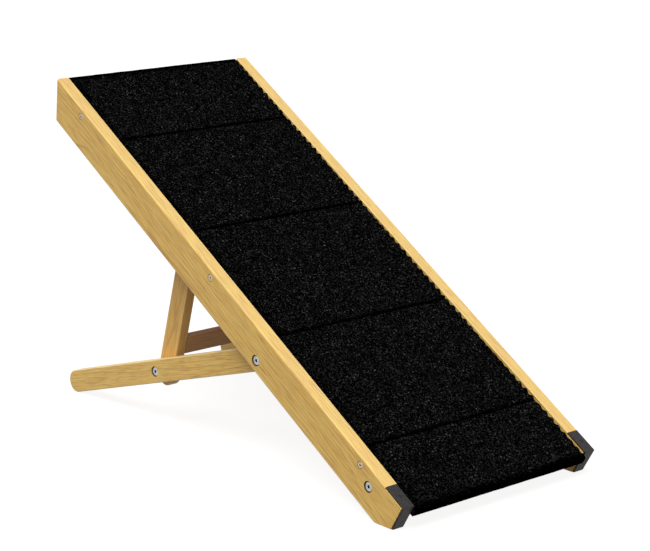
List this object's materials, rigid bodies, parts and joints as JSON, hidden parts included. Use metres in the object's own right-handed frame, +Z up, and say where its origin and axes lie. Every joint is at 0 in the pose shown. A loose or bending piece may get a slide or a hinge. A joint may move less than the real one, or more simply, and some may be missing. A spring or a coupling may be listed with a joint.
{
  "type": "folding dog ramp",
  "caption": "Wooden pet ramp with a black carpeted deck between side rails, rubber capped low corners and a folding leg and prop frame under it.",
  "frame": {"origin": "on the floor, under the middle of the standing ramp's bounding box", "axes": "+Z up, -X up the ramp towards its high end, +Y to the right of someone who walks up it"},
  "size_m": [0.8848, 0.4, 0.5503],
  "materials": {
    "rail_wood": "satin clear lacquer",
    "leg_wood": "satin clear lacquer",
    "bare_wood": "sanded, unlacquered",
    "carpet": "needle-punched, speckled",
    "rubber": "matt moulded",
    "zinc": "bright zinc plated",
    "black_steel": "black oxide"
  },
  "bodies": {
    "ramp": {"barrel_nut_left": "zinc", "barrel_nut_right": "zinc", "cap_nail_front_left": "black_steel", "cap_nail_front_right": "black_steel", "cap_nail_top_left": "black_steel", "cap_nail_top_right": "black_steel", "carpet_low": "carpet", "carpet_lower": "carpet", "carpet_middle": "carpet", "carpet_top": "carpet", "carpet_upper": "carpet", "deck_board": "bare_wood", "deck_screw_low_left": "zinc", "deck_screw_low_right": "zinc", "deck_screw_middle_left": "zinc", "deck_screw_middle_right": "zinc", "deck_screw_top_left": "zinc", "deck_screw_top_right": "zinc", "leg_bolt_left": "zinc", "leg_bolt_right": "zinc", "leg_nut_left": "zinc", "leg_nut_right": "zinc", "leg_washer_left": "zinc", "leg_washer_right": "zinc", "low_stretcher": "bare_wood", "rack_screw_high_left": "zinc", "rack_screw_high_right": "zinc", "rack_screw_low_left": "zinc", "rack_screw_low_right": "zinc", "rack_strip_left": "bare_wood", "rack_strip_right": "bare_wood", "rail_left": "rail_wood", "rail_right": "rail_wood", "rubber_cap_left": "rubber", "rubber_cap_right": "rubber", "stretcher_bolt_left": "zinc", "stretcher_bolt_right": "zinc"},
    "legs": {"leg_left": "leg_wood", "leg_right": "leg_wood", "leg_tie_bar": "leg_wood", "prop_bolt_left": "zinc", "prop_bolt_right": "zinc", "prop_nut_left": "zinc", "prop_nut_right": "zinc", "prop_washer_left": "zinc", "prop_washer_right": "zinc"},
    "prop": {"prop_crossbar": "leg_wood", "prop_top_bar": "leg_wood", "prop_upright_left": "leg_wood", "prop_upright_right": "leg_wood"}
  },
  "joints": [
    {"name": "leg_fold", "type": "hinge", "parent": "ramp", "child": "legs", "pos_m": [0.10857, 0, 0.18152], "axis": [0, 1, 0], "range_deg": [0, 47.82]},
    {"name": "prop_fold", "type": "hinge", "parent": "legs", "child": "prop", "pos_m": [-0.18792, 0, 0.09101], "axis": [0, -1, 0], "range_deg": [0, 122.97]}
  ],
  "couplings": [
    {"joint": "prop_fold", "follows": "leg_fold", "ratio": 2.5714}
  ]
}
